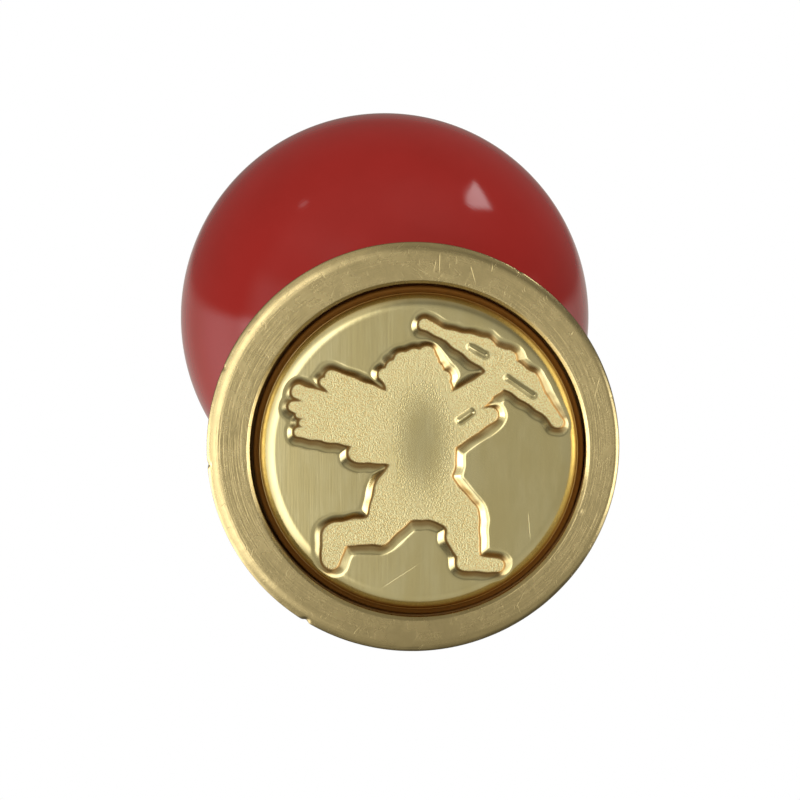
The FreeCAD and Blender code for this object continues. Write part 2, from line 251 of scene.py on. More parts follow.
def scratches(place, slant, seed, size):  # thin wandering lines along one direction
    x, y, z = place.parts()
    along = x * math.cos(slant) + y * math.sin(slant) + seed
    across = y * math.cos(slant) - x * math.sin(slant) + seed
    lengthwise, sideways, upward = brassWear["scratchPace"]
    detail = brassWear["scratchDetail"]
    lines = place.vector(along * lengthwise / size, across * sideways / size, z * upward).noise(1.0, detail)
    thin = abs(lines.centred()).smooth(brassWear["scratchWidth"], 0.0)
    patch = place.vector(x + seed, y - seed, z).noise(brassWear["patchSize"] * size, detail)
    return thin * patch.smooth(*brassWear["patchFrom"])


def stroke(place, start, end):  # one straight scratch that fades at both ends
    x, y = place.parts()[:2]
    length = math.dist(start, end)
    across, down = (end[0] - start[0]) / length, (end[1] - start[1]) / length
    x, y = x - start[0], y - start[1]
    along = x * across + y * down
    fade = brassWear["strokeFade"] * length
    ends = along.smooth(0.0, fade) * along.smooth(length, length - fade)
    return abs(y * across - x * down).smooth(brassWear["strokeWidth"], 0.0) * ends


def brass(name, look):
    made, place = newMaterial(name)
    x, y, z = place.parts()
    radius = fromAxis(x, y)
    mottle = place.noise(*brassWear["mottle"]).smooth(*brassWear["mottleFrom"])
    outward, upward, around = brassWear["turning"]
    lines = place.vector(radius * outward + z * upward, x / radius * around, y / radius * around)
    lines = lines.noise(*brassWear["turningNoise"])
    marks = [scratches(place, *scratch) for scratch in brassWear["scratches"]]
    marks += [stroke(place, *ends) for ends in look["strokes"]]
    worn = sum(marks[1:], marks[0])
    toneAndPaintedShade = mottle.centred() * brassWear["mottleTone"]
    if "toneAndPaintedShade" in look:  # painted shade: the face of the rim is darker at the top and bottom, most towards the lower right
        bend, down, right, depth = look["toneAndPaintedShade"]
        toneAndPaintedShade = (y * y / bend + y / down + x / right) * z.smooth(*depth) + toneAndPaintedShade
    # random patches, and on the rim face painted shade, darken the brass towards this tone
    tone = toneAndPaintedShade.colour(look["tone"], brassTones["mottleAndShadeTone"])
    rough = look["roughness"] + lines.centred() * look["roughSpread"]
    rough = rough + mottle.centred() * brassWear["mottleRough"] + worn * brassWear["scratchRough"]
    metal = 1.0
    if "dirt" in look:  # in the recess for the disc
        start, end, reach, dulling, roughening = look["dirt"]
        dirt = z.smooth(*start) * radius.smooth(*reach) * z.smooth(*end) * dulling
        tone = dirt.colour(tone, brassTones["dull"])
        rough = rough + dirt * roughening
        metal = 1 - dirt * brassWear["dirtMetal"]
    height = lines.centred() * look["lineDepth"] + mottle * look["dimple"] - worn * look["scratchDepth"]
    links = {"Base Color": tone, "Roughness": rough, "Metallic": metal, "Normal": height.bump()}
    return closeMaterial(made, place.node("BsdfPrincipled", {}, links))


headSpec = {  # rim, bell-shaped back, boss, recess and tapped hole
    "rim": 12.5, "shade": 11.8, "bellFoot": 4.2, "bellFrom": 0.06, "bellSteps": 30, "bellCorner": 0.15,
    "boss": 7.5, "bossBevel": 0.5, "bossCorners": (0.12, 0.08), "top": 14.0,
    "seat": 10.2, "seatDepth": 3.0, "seatBevel": 0.2, "seatShift": (0.3, 0.2),
    "seatCorner": 0.05, "lipCorner": 0.06,
    "hole": 3.05, "holeRoom": 0.01, "holeFoot": 5.4, "holeMouth": 0.5, "mouthCorner": 0.05,
    "rolled": 0.8, "rollDepth": 0.24, "rollCurve": 2.2, "unworn": 0.6,  # the outer edge is worn round
    "segments": 720, "rimRings": 10, "rollRings": 14, "sideRings": (0.4, 0.6, 0.8, 1.1),
    "nicks": [(175.4, 12.5, 0.16, 0.10), (121.6, 12.5, 0.18, 0.16), (21.3, 10.85, 0.12, 0.04),
              (203.0, 12.5, 0.14, 0.05), (301.0, 12.5, 0.14, 0.05)],  # angle, radius, reach, depth
    "nickTop": 1.0, "nickUp": 0.8, "nickIn": 0.7,
    "wearSeed": 7, "wearWaves": (9, 17, 31, 47, 83), "wearStrength": (0.2, 1.0),
    "wearDepth": 0.012, "wearReach": 0.22,
    "look": {
        "tone": brassTones["rim"], "roughness": 0.25, "roughSpread": 0.10,
        "lineDepth": 0.012, "dimple": 0.005, "scratchDepth": 0.005,
        "toneAndPaintedShade": (260, 57, 114, (0.5, 0.3)),  # bend, down, right, depth of the painted shade on the rim face
        "dirt": ((0.6, 1.1), (3.4, 3.2), (10.85, 10.6), 0.85, 0.3),  # start, end, reach, dulling, roughening
        "strokes": [((1.60, -12.0), (1.54, -10.4)), ((3.41, -11.2), (3.77, -9.9)),
                    ((0.22, -10.9), (0.89, -10.5)), ((1.38, -11.5), (1.17, -10.5)),
                    ((4.83, -11.5), (4.71, -10.6)), ((11.3, -4.4), (10.9, -2.8))],  # start and end
    },
}


def wearRim(points, spec):  # rolls the outer edge less on the right, then adds nicks and fine wear
    low = points[:, 2] < spec["nickTop"]
    reach = np.hypot(points[:, 0], points[:, 1])
    turn = np.arctan2(points[:, 1], points[:, 0])
    outer = spec["rim"] - spec["rolled"]
    rolled = (reach > outer) & (points[:, 2] <= spec["rollDepth"])
    width = spec["rolled"] * (1 - spec["unworn"] * np.clip(np.cos(turn), 0, 1))
    share = np.clip((reach - spec["rim"]) / width + 1, 0, 1)
    points[rolled, 2] = (spec["rollDepth"] * share ** spec["rollCurve"])[rolled]
    for angle, radius, size, depth in spec["nicks"]:
        spot = radius * np.array((math.cos(math.radians(angle)), math.sin(math.radians(angle))))
        far = np.hypot(points[:, 0] - spot[0], points[:, 1] - spot[1])
        push = depth * np.exp(-(far / size) ** 2) * low
        points[:, 2] += push * spec["nickUp"]
        if radius > outer:
            points[:, 0] -= push * spec["nickIn"] * np.cos(turn)
            points[:, 1] -= push * spec["nickIn"] * np.sin(turn)
    dice = random.Random(spec["wearSeed"])
    wear = 0
    for wave in spec["wearWaves"]:
        strength = dice.uniform(*spec["wearStrength"])
        wear = wear + strength * np.sin(turn * wave + dice.uniform(*anyPhase))
    edge = np.exp(-((reach - spec["rim"]) / spec["wearReach"]) ** 2) * low
    points[:, 2] += spec["wearDepth"] * np.clip(wear, 0, None) * edge


def makeHead(spec):
    withSeat = 1.0  # the recess lies off the axis, the outside on it
    bell = spec["shade"] - spec["boss"]
    lip, outer = spec["seat"] + spec["seatBevel"], spec["rim"] - spec["rolled"]
    holeWall = spec["hole"] + spec["holeRoom"]
    corners = [
        (0.0, spec["seatDepth"], 0, withSeat),
        (spec["seat"], spec["seatDepth"], spec["seatCorner"], withSeat),
        (spec["seat"], spec["seatBevel"], spec["lipCorner"], withSeat),
        (lip, 0.0, spec["lipCorner"], withSeat),
    ]
    for share in np.linspace(0, 1, spec["rimRings"] + 2)[1:-1]:  # rings on the rim face, for its nicks
        corners.append((lip + (outer - lip) * share, 0.0, 0, withSeat - share))
    for share in np.linspace(0, 1, spec["rollRings"]):
        corners.append((outer + spec["rolled"] * share, spec["rollDepth"] * share ** spec["rollCurve"]))
    slope = (spec["shade"] - spec["rim"]) / (spec["bellFoot"] - spec["rollDepth"])
    for height in spec["sideRings"]:  # rings low on the side, so that nicks stay small
        corners.append((spec["rim"] + slope * (height - spec["rollDepth"]), height))
    corners.append((spec["shade"], spec["bellFoot"], spec["bellCorner"]))
    bellStart = -(1 + spec["bellFrom"]) * math.pi / 2
    corners += arc(spec["shade"], spec["bellFoot"] + bell, bell, bellStart, -math.pi, spec["bellSteps"])
    corners += [
        (spec["boss"], spec["top"] - spec["bossBevel"], spec["bossCorners"][0]),
        (spec["boss"] - spec["bossBevel"], spec["top"], spec["bossCorners"][1]),
        (spec["hole"] + spec["holeMouth"], spec["top"], spec["mouthCorner"]),
        (holeWall, spec["top"] - spec["holeMouth"], spec["mouthCorner"]),
        (holeWall, spec["holeFoot"]),
        (0.0, spec["holeFoot"]),
    ]
    points, faces = turnProfile(roundCorners(corners), spec["segments"], spec["seatShift"])
    wearRim(points, spec)
    makeMesh("sealHead", points, faces, "head", "seal_head", brass("headBrass", spec["look"]))


makeHead(headSpec)

discSpec = {  # a ledge in the recess, a raised field with a soft shoulder, and the sunk figure
    "middle": (0.36, 0.36), "face": 0.5, "flat": 8.63, "field": 9.68, "shoulder": 1.4, "crown": 0.16,
    "reach": 10.0, "back": 3.0, "cells": 296,
    "groove": [(9.71, 1.18), (9.76, 1.26), (9.82, 1.33), (9.90, 1.385), (10.0, 1.41)],
    "figureHeight": 16.3, "figureShift": (0.1, -0.16), "depth": 0.45, "wall": 0.50, "ease": 0.20,
    "join": 18.0, "joinRange": (-0.12, 0.6),  # how sharp the inner corners are
    "waver": 0.008, "waverSeed": 3, "waves": 9, "wavePace": (2.0, 7.0),  # the outline was cut by hand
    "floorFrom": (-0.02, -0.14), "rubbedMiddle": (0.25, -0.6), "rubbedReach": (2.6, 5.0),
    "wallTop": (0.42, 0.22), "wallFoot": (-0.1, 0.0), "footLine": (0.02, 0.09),  # where the walls are darkened: painted shade on the walls facing up and down, and a dark line along their foot
    # painted shade: weights for walls at the upper and lower edges of the figure, and the step that finds
    # which way a wall faces
    "shadedUpperWalls": 10.0, "shadedLowerWalls": -7.5, "probe": 0.05,
    # painted shade on the top and bottom of the shoulder, and dirt at the outer edge of the field
    "shoulderShadeFrom": (8.98, 9.58), "shoulderShadeShare": 0.75, "rimDirt": (9.61, 9.67),
    "look": {
        "roughness": 0.20, "roughSpread": 0.10, "lineDepth": 0.0025, "scratchDepth": 0.004,
        "brushing": (7.0, 0.25), "brushNoise": (1.0, 3.0, 0.7),
        "mottle": (0.9, 0.3), "mottleNoise": (1.0, 3.0, 0.6), "mottleFrom": (0.3, 0.7),
        "floorTone": linear(255, 247, 192), "floorShade": linear(242, 212, 142), "floorRoughness": 0.38,
        "pebble": (0.085, 2.0, 0.55), "pebbleFrom": (0.35, 0.65), "pebbleDepth": 0.055,
        # well and dullness: dirt in the groove; foot: weight of the dark line and painted shade
        "well": (1.08, 1.15), "dullness": 0.9, "dirtRough": 0.45, "foot": 0.85,
        "strokes": [((-2.26, 8.9), (0.65, 7.0)), ((6.95, 3.8), (7.13, 6.0))],
    },
}
figureLimbs = [  # two round ends each, as shares of the figure's height: across, up, radius
    (0.476, 0.768, 0.100, 0.471, 0.742, 0.104), (0.368, 0.778, 0.026, 0.400, 0.745, 0.030),  # head and curls
    (0.397, 0.808, 0.028, 0.430, 0.780, 0.030), (0.430, 0.833, 0.030, 0.450, 0.800, 0.030),
    (0.478, 0.846, 0.031, 0.480, 0.800, 0.030), (0.523, 0.853, 0.032, 0.510, 0.800, 0.030),
    (0.540, 0.829, 0.028, 0.520, 0.790, 0.030), (0.559, 0.796, 0.027, 0.530, 0.760, 0.030),
    (0.585, 0.768, 0.028, 0.550, 0.740, 0.030), (0.597, 0.730, 0.022, 0.560, 0.710, 0.030),
    (0.489, 0.640, 0.139, 0.515, 0.455, 0.117), (0.478, 0.357, 0.128, 0.492, 0.357, 0.128),  # trunk and arms
    (0.614, 0.646, 0.060, 0.767, 0.746, 0.047), (0.618, 0.560, 0.056, 0.757, 0.626, 0.031),
    (0.690, 0.664, 0.032, 0.748, 0.690, 0.020),
    (0.328, 0.650, 0.082, 0.166, 0.774, 0.024), (0.260, 0.690, 0.050, 0.143, 0.750, 0.021),  # wing
    (0.300, 0.610, 0.060, 0.046, 0.716, 0.028), (0.220, 0.680, 0.030, 0.185, 0.703, 0.022),
    (0.332, 0.609, 0.080, 0.028, 0.659, 0.022), (0.160, 0.618, 0.030, 0.046, 0.627, 0.012),
    (0.160, 0.595, 0.034, 0.064, 0.598, 0.018), (0.340, 0.570, 0.078, 0.049, 0.563, 0.021),
    (0.379, 0.527, 0.086, 0.262, 0.483, 0.034), (0.330, 0.480, 0.032, 0.382, 0.462, 0.022),
    (0.425, 0.330, 0.100, 0.345, 0.193, 0.055), (0.338, 0.195, 0.055, 0.190, 0.180, 0.046),  # rear leg
    (0.182, 0.172, 0.052, 0.166, 0.083, 0.035),
    (0.550, 0.325, 0.095, 0.655, 0.250, 0.062), (0.654, 0.228, 0.065, 0.678, 0.107, 0.044),  # front leg
    (0.638, 0.172, 0.046, 0.660, 0.130, 0.040), (0.667, 0.073, 0.035, 0.785, 0.061, 0.028),
    (0.516, 0.965, 0.024, 0.600, 0.922, 0.017), (0.594, 0.922, 0.018, 0.713, 0.893, 0.029),  # bow and string
    (0.702, 0.895, 0.027, 0.795, 0.845, 0.033), (0.796, 0.800, 0.055, 0.828, 0.842, 0.031),
    (0.846, 0.798, 0.032, 0.915, 0.752, 0.026), (0.909, 0.759, 0.028, 0.957, 0.672, 0.022),
    (0.953, 0.679, 0.024, 1.010, 0.598, 0.024), (0.560, 0.943, 0.012, 0.730, 0.865, 0.055),
    (0.850, 0.775, 0.045, 1.000, 0.606, 0.012), (0.532, 0.965, 0.012, 0.768, 0.785, 0.011),
    (0.798, 0.752, 0.012, 1.014, 0.600, 0.013), (0.780, 0.775, 0.030, 0.905, 0.690, 0.022),
]
figureIslands = [  # left standing inside the figure: between bow and string, and between the arms
    (0.684, 0.882, 0.013, 0.738, 0.851, 0.016), (0.824, 0.764, 0.012, 0.918, 0.698, 0.013),
    (0.648, 0.607, 0.016, 0.690, 0.636, 0.013),
]


def limbDistance(x, y, limb):  # signed distance to two circles and the straight sides that join them
    x0, y0, r0, x1, y1, r1 = limb
    length = math.hypot(x1 - x0, y1 - y0)
    ux, uy = (x1 - x0) / length, (y1 - y0) / length
    along = (x - x0) * ux + (y - y0) * uy
    aside = np.abs((y - y0) * ux - (x - x0) * uy)
    lean = (r0 - r1) / length
    straight = math.sqrt(1 - lean * lean)
    share = along * straight - aside * lean
    side = aside * straight + along * lean - r0
    start = np.hypot(along, aside) - r0
    end = np.hypot(along - length, aside) - r1
    return np.where(share < 0, start, np.where(share > straight * length, end, side))


def figureDistance(x, y, spec, islands):  # millimetres, below 0 inside the figure, with soft inner corners
    height, join = spec["figureHeight"], spec["join"]
    middle = 0.5  # of the square that the limbs are drawn in
    across = middle + (x - spec["figureShift"][0]) / height
    up = middle - (y - spec["figureShift"][1]) / height
    total = np.zeros_like(x)
    for limb in figureLimbs:
        near = np.clip(limbDistance(across, up, limb), *spec["joinRange"])
        total += np.exp(-join * height * near)
    gap = -np.log(total) / join
    for island in islands:
        gap = np.maximum(gap, -limbDistance(across, up, island) * height)
    dice = random.Random(spec["waverSeed"])
    waver = np.zeros_like(x)
    for wave in range(spec["waves"]):
        turn, pace = dice.uniform(*anyPhase), dice.uniform(*spec["wavePace"])
        waver += np.sin((x * math.cos(turn) + y * math.sin(turn)) * pace + dice.uniform(*anyPhase))
    return gap + spec["waver"] * waver


def eased(share, ease):  # 0 below -ease, a straight rise above ease, rounded between
    return np.where(share > ease, share, np.clip(share + ease, 0, None) ** 2 / (4 * ease))


def rise(values, low, high):  # 0 at low, 1 at high, straight between
    return np.clip((values - low) / (high - low), 0, 1)


def discFinish(look):
    made, place = newMaterial("discBrass")
    x, y, z = place.parts()
    floor = place.node("Attribute", {"attribute_name": "sunk"}, {}, "Fac")
    bare = place.node("Attribute", {"attribute_name": "rubbed"}, {}, "Fac")
    corner = place.node("Attribute", {"attribute_name": "corner"}, {}, "Fac")  # where dirt lies and where shade is painted
    across, down = look["mottle"]
    mottle = place.vector(x * across, y * down, z).noise(*look["mottleNoise"]).smooth(*look["mottleFrom"])
    across, down = look["brushing"]  # fine upright lines
    lines = place.vector(x * across, y * down, z).noise(*look["brushNoise"])
    worn = stroke(place, *look["strokes"][0]) + stroke(place, *look["strokes"][1])
    pebble = place.noise(*look["pebble"])
    frost = floor * (1 - bare)
    dirt = z.smooth(*look["well"]) * look["dullness"]
    # dirt in the groove, and the dark line and painted shade on walls and shoulder, turn the brass dull
    # brown
    dirtAndPaintedShade = (dirt + corner * look["foot"]).smooth(0.0, 1.0)
    tone = mottle.colour(brassTones["warm"], brassTones["clean"])
    # raised sand grains pale and low ones dark: random tone, partly painted shade between the grains
    grainsWithPaintedShade = pebble.smooth(*look["pebbleFrom"]).colour(look["floorShade"], look["floorTone"])
    tone = frost.colour(tone, grainsWithPaintedShade)
    tone = dirtAndPaintedShade.colour(tone, brassTones["dull"])
    plain = look["roughness"] + lines.centred() * look["roughSpread"] + worn * brassWear["scratchRough"]
    rough = plain + (look["floorRoughness"] - plain) * frost + dirt * look["dirtRough"]
    metal = 1 - dirt * brassWear["dirtMetal"]
    flatMarks = lines.centred() * look["lineDepth"] - worn * look["scratchDepth"]
    height = flatMarks * (1 - floor) + pebble.centred() * frost * look["pebbleDepth"]
    links = {"Base Color": tone, "Roughness": rough, "Metallic": metal, "Normal": height.bump()}
    return closeMaterial(made, place.node("BsdfPrincipled", {}, links))


def roundGrid(cells, size):  # a square grid whose square rings are bent into round ones
    line = np.linspace(-1, 1, cells + 1)
    across, down = np.meshgrid(line, line)
    wide = np.abs(across) >= np.abs(down)
    reach = np.where(wide, across, down)
    other = np.where(wide, down, across)
    lean = math.pi / 4 * other / np.where(reach == 0, 1, reach)
    turn = np.where(wide, lean, math.pi / 2 - lean)
    return size * reach * np.cos(turn), size * reach * np.sin(turn)


def discHeights(x, y, gap, spec):
    radius = np.hypot(x, y)
    over = np.clip(radius - spec["flat"], 0, None)
    face = spec["face"] + spec["crown"] * (np.clip(radius, 0, spec["flat"]) / spec["flat"]) ** 2
    face += spec["shoulder"] - np.sqrt(spec["shoulder"] ** 2 - over ** 2)
    ramp = 1 - gap / spec["wall"]
    share = eased(ramp, spec["ease"]) - eased(ramp - 1, spec["ease"])  # the walls slope
    bottom = np.maximum(spec["face"] + spec["depth"], face)
    return face + (bottom - face) * share


def dirtAndPaintedShadeMask(x, y, spec):  # 1 where dirt lies and where shade is painted
    radius = np.hypot(x, y)
    gap = figureDistance(x, y, spec, [])
    above = figureDistance(x, y - spec["probe"], spec, [])
    below = figureDistance(x, y + spec["probe"], spec, [])
    # painted shade on the walls at the upper and lower edges of the figure, more on the upper ones, none on
    # the side walls
    facing = above - below
    facing = np.where(facing > 0, spec["shadedUpperWalls"], spec["shadedLowerWalls"]) * facing
    wall = rise(gap, *spec["wallTop"]) * rise(gap, *spec["wallFoot"])
    # a dark line along the foot of the walls
    middle, width = spec["footLine"]
    foot = np.exp(-((gap - middle) / width) ** 2)
    upright = (y / np.maximum(radius, 1)) ** 2  # painted shade, most at the top and bottom of the shoulder
    shoulder = spec["shoulderShadeShare"] * rise(radius, *spec["shoulderShadeFrom"]) * upright
    corner = np.maximum(foot, np.clip(facing, 0, 1) * wall)
    return np.maximum(np.maximum(corner, shoulder), rise(radius, *spec["rimDirt"]))


def makeDisc(spec):
    cells, middle = spec["cells"], spec["middle"]
    x, y = roundGrid(cells, spec["field"])
    gap = figureDistance(x, y, spec, figureIslands)
    z = discHeights(x, y, gap, spec)
    floor = rise(gap, *spec["floorFrom"])
    aside = (x - spec["rubbedMiddle"][0]) / spec["rubbedReach"][0]
    ahead = (y - spec["rubbedMiddle"][1]) / spec["rubbedReach"][1]
    rubbed = np.exp(-(aside ** 2 + ahead ** 2)) * floor
    # dirt, a dark line at the foot of the walls, and painted shade on walls and shoulder
    corner = dirtAndPaintedShadeMask(x, y, spec)
    points = np.stack([x + middle[0], y + middle[1], z], -1).reshape(-1, 3).tolist()
    number = np.arange((cells + 1) ** 2).reshape(cells + 1, cells + 1)
    quads = [number[:-1, :-1], number[1:, :-1], number[1:, 1:], number[:-1, 1:]]
    faces = np.stack(quads, -1).reshape(-1, 4).tolist()
    rim = [*number[0, :-1], *number[:-1, -1], *number[-1, :0:-1], *number[:0:-1, 0]]
    turns = [math.atan2(points[index][1] - middle[1], points[index][0] - middle[0]) for index in rim]
    below = rim
    for radius, height in [*spec["groove"], (spec["reach"], spec["back"])]:
        ring = list(range(len(points), len(points) + len(turns)))
        for turn in turns:
            points.append((middle[0] + radius * math.cos(turn), middle[1] + radius * math.sin(turn), height))
        for index in range(len(ring)):
            after = (index + 1) % len(ring)
            faces.append((below[index], ring[index], ring[after], below[after]))
        below = ring
    points.append((*middle, spec["back"]))
    for index in range(len(below)):
        faces.append((below[index], len(points) - 1, below[(index + 1) % len(below)]))
    disc = makeMesh("dieDisc", points, faces, "head", "die_disc", discFinish(spec["look"]))
    for name, values in (("sunk", floor), ("rubbed", rubbed), ("corner", corner)):
        mask = disc.data.attributes.new(name, "FLOAT", "POINT")
        filled = np.full(len(points), values[0, 0], np.float32)  # the groove is as the field's edge
        filled[:values.size] = values.ravel()
        mask.data.foreach_set("value", filled)


makeDisc(discSpec)

ferruleSpec = {  # thin tube with a rolled bead
    "foot": 14.0, "top": 20.98, "outer": 7.5, "inner": 6.8, "bead": 0.6, "beadSteps": 17, "bevel": 0.4,
    "corners": (0.05, 0.08, 0.12), "segments": 256,
    "look": {
        "tone": brassTones["warm"], "roughness": 0.22, "roughSpread": 0.14,
        "lineDepth": 0.002, "dimple": 0.003, "scratchDepth": 0.003, "strokes": [],
    },
}


def makeFerrule(spec):
    bead = spec["bead"]
    corners = [
        (spec["inner"], spec["top"]),
        (spec["inner"], spec["foot"], spec["corners"][0]),
        (spec["outer"] - spec["bevel"], spec["foot"], spec["corners"][1]),
        (spec["outer"], spec["foot"] + spec["bevel"], spec["corners"][2]),
    ]
    corners += arc(spec["outer"], spec["top"] - bead, bead, -math.pi / 2, math.pi / 2, spec["beadSteps"])
    corners.append((spec["inner"], spec["top"]))
    points, faces = turnProfile(roundCorners(corners), spec["segments"])
    material = brass("ferruleBrass", spec["look"])
    makeMesh("ferruleTube", points, faces, "collar", "ferrule", material)


makeFerrule(ferruleSpec)

threadForm = {  # the same in the stud and in the head
    "pitch": 1.0, "flankRise": 1.3, "rootFlat": 0.15, "segments": 72, "perPitch": 12,
}
studSpec = {  # threaded rod
    **threadForm, "foot": 6.0, "top": 30.0, "crest": 2.98, "depth": 0.55, "bevel": 0.6,
    "look": {
        "tone": linear(186, 186, 182), "grimeAndRootTone": linear(92, 88, 80), "grimeShare": 0.4, "rootShare": 0.5,
        "turning": (6.0, 14.0, 0.6), "turningNoise": (1.0, 3.0, 0.7), "lineDepth": 0.004,
        "grime": (0.9, 3.0, 0.6), "grimeFrom": (0.45, 0.7), "rootFrom": (2.75, 2.45),
        "roughness": 0.28, "roughSpread": 0.2, "grimeRough": 0.15,
    },
}
tapSpec = {  # the thread in the head that it runs in
    **threadForm, "foot": 5.5, "top": 13.55, "root": 3.05, "depth": 0.5,
}


def steel(look):
    made, place = newMaterial("studSteel")
    x, y, z = place.parts()
    radius = fromAxis(x, y)
    outward, upward, sideways = look["turning"]
    lines = place.vector(radius * outward, z * upward, x * sideways).noise(*look["turningNoise"])
    grime = place.noise(*look["grime"]).smooth(*look["grimeFrom"])
    root = radius.smooth(*look["rootFrom"])
    # darker where the grime noise is high and towards the roots of the thread
    dark = grime * look["grimeShare"] + root * look["rootShare"]
    tone = dark.colour(look["tone"], look["grimeAndRootTone"])
    rough = look["roughness"] + lines.centred() * look["roughSpread"] + grime * look["grimeRough"]
    height = lines.centred() * look["lineDepth"]
    links = {"Base Color": tone, "Roughness": rough, "Metallic": 1.0, "Normal": height.bump()}
    return closeMaterial(made, place.node("BsdfPrincipled", {}, links))


def threadHeight(heights, angles, spec):  # 0 in the root, 1 on the crest of a right-hand thread
    phase = np.mod(heights / spec["pitch"] - angles / fullTurn, 1.0)
    slope = 1 - np.abs(2 * phase - 1)
    return np.clip(spec["flankRise"] * slope - spec["rootFlat"], 0, 1)


def threadRings(spec, radiusAt):
    count = int((spec["top"] - spec["foot"]) / spec["pitch"] * spec["perPitch"]) + 1
    heights = np.linspace(spec["foot"], spec["top"], count)
    angles = np.linspace(0, fullTurn, spec["segments"], endpoint=False)
    angles, heights = np.meshgrid(angles, heights)
    radius = radiusAt(heights, threadHeight(heights, angles, spec))
    places = [radius * np.cos(angles), radius * np.sin(angles), heights]
    points = np.stack(places, -1).reshape(-1, 3).tolist()
    number = np.arange(len(points)).reshape(heights.shape)
    after = np.roll(number, -1, 1)
    faces = np.stack([number[:-1], after[:-1], after[1:], number[1:]], -1).reshape(-1, 4).tolist()
    return points, faces, number


def makeStud(spec):
    def radiusAt(heights, thread):
        ends = np.minimum(heights - spec["foot"], spec["top"] - heights)
        return np.minimum(spec["crest"] - spec["depth"] * (1 - thread), spec["crest"] - spec["bevel"] + ends)
    points, faces, number = threadRings(spec, radiusAt)
    for ring, height, flip in ((number[0], spec["foot"], True), (number[-1], spec["top"], False)):
        points.append((0.0, 0.0, height))
        for one, two in zip(ring, np.roll(ring, -1)):
            faces.append((two, one, len(points) - 1) if flip else (one, two, len(points) - 1))
    makeMesh("threadedStud", points, faces, "handle", "stud", steel(spec["look"]))


def makeTap(spec):
    def radiusAt(heights, thread):
        return spec["root"] - spec["depth"] * (1 - thread)
    points, faces = threadRings(spec, radiusAt)[:2]
    faces = [tuple(reversed(face)) for face in faces]
    material = bpy.data.materials["headBrass"]
    makeMesh("tappedThread", points, faces, "head", None, material)


makeStud(studSpec)
makeTap(tapSpec)

handleSpec = {  # tenon, ring, neck, cove and ball under red lacquer
    "foot": 14.2, "footCorner": 0.2, "tenon": 6.75, "socket": 3.05, "socketTop": 30.0, "socketCorner": 0.05,
    "shoulder": 21.0, "shoulderCorner": 0.05, "ring": 8.8, "ringWidth": 3.0, "ringSteps": 25,
    "neckBase": 6.5, "neckCorner": 0.25, "neck": 4.5, "cove": 4.0, "coveSteps": 40,
    "ball": 13.49, "ballSteps": 120, "top": 80.0, "segments": 256,
    "look": {
        "red": linear(160, 39, 34), "deepRed": linear(152, 36, 30), "wood": linear(196, 158, 112),
        "bareFrom": (21.02, 20.98), "bareRough": 0.5,  # the tenon under the ferrule was never lacquered
        "roughness": 0.09, "gloss": 0.30, "peel": (1.6, 2.0), "peelDepth": 0.0015,
        "grain": (1.6, 0.12), "grainNoise": (1.0, 3.0, 0.6), "grainShare": 0.4, "grainDepth": 0.0015,
        "cloud": (5.0, 3.0), "cloudFrom": (0.3, 0.7), "cloudShare": 0.6, "cloudRough": 0.03,
        "dust": (0.45, 1.0), "dustFrom": (0.76, 0.80), "dustRough": 0.1, "dustDepth": 0.002,
    },
}


def lacquer(look):
    made, place = newMaterial("redLacquer")
    x, y, z = place.parts()
    across, up = look["grain"]
    grain = place.vector(x * across, y * across, z * up).noise(*look["grainNoise"])
    cloud = place.noise(*look["cloud"]).smooth(*look["cloudFrom"])
    dust = place.noise(*look["dust"]).smooth(*look["dustFrom"])
    bare = z.smooth(*look["bareFrom"])
    red = (cloud * look["cloudShare"] + grain * look["grainShare"]).colour(look["deepRed"], look["red"])
    tone = bare.colour(red, look["wood"])
    rough = look["roughness"] + cloud.centred() * look["cloudRough"] + dust * look["dustRough"]
    rough = rough + bare * look["bareRough"]
    height = place.noise(*look["peel"]) * look["peelDepth"] + grain * look["grainDepth"]
    height = height + dust * look["dustDepth"]
    links = {
        "Base Color": tone, "Roughness": rough, "Specular IOR Level": look["gloss"], "Normal": height.bump(),
    }
    return closeMaterial(made, place.node("BsdfPrincipled", {}, links))


def makeHandle(spec):
    ringRound = spec["ringWidth"] / 2
    ringMiddle = spec["shoulder"] + ringRound
    ringTop = spec["shoulder"] + spec["ringWidth"]
    ball, cove = spec["ball"], spec["cove"]
    ballMiddle = spec["top"] - ball
    coveAcross = spec["neck"] + cove
    coveAlong = ballMiddle - math.sqrt((ball + cove) ** 2 - coveAcross ** 2)
    meetTurn = math.atan2(coveAlong - ballMiddle, coveAcross)  # where the cove meets the ball
    reach = math.hypot(coveAcross - spec["neckBase"], coveAlong - ringTop)
    touch = math.atan2(ringTop - coveAlong, spec["neckBase"] - coveAcross) - math.acos(cove / reach)
    touch = touch % fullTurn  # where the straight neck runs into the cove
    corners = [
        (0.0, spec["socketTop"]),
        (spec["socket"], spec["socketTop"]),
        (spec["socket"], spec["foot"], spec["socketCorner"]),
        (spec["tenon"], spec["foot"], spec["footCorner"]),
        (spec["tenon"], spec["shoulder"], spec["shoulderCorner"]),
    ]
    quarter = math.pi / 2
    corners += arc(spec["ring"] - ringRound, ringMiddle, ringRound, -quarter, quarter, spec["ringSteps"])
    corners.append((spec["neckBase"], ringTop, spec["neckCorner"]))
    corners += arc(coveAcross, coveAlong, cove, touch, math.pi + meetTurn, spec["coveSteps"])
    corners += arc(0.0, ballMiddle, ball, meetTurn, quarter, spec["ballSteps"])[1:-1]
    corners.append((0.0, spec["top"]))
    points, faces = turnProfile(roundCorners(corners), spec["segments"])
    material = lacquer(spec["look"])
    makeMesh("turnedHandle", points, faces, "handle", "wooden_handle", material)


makeHandle(handleSpec)

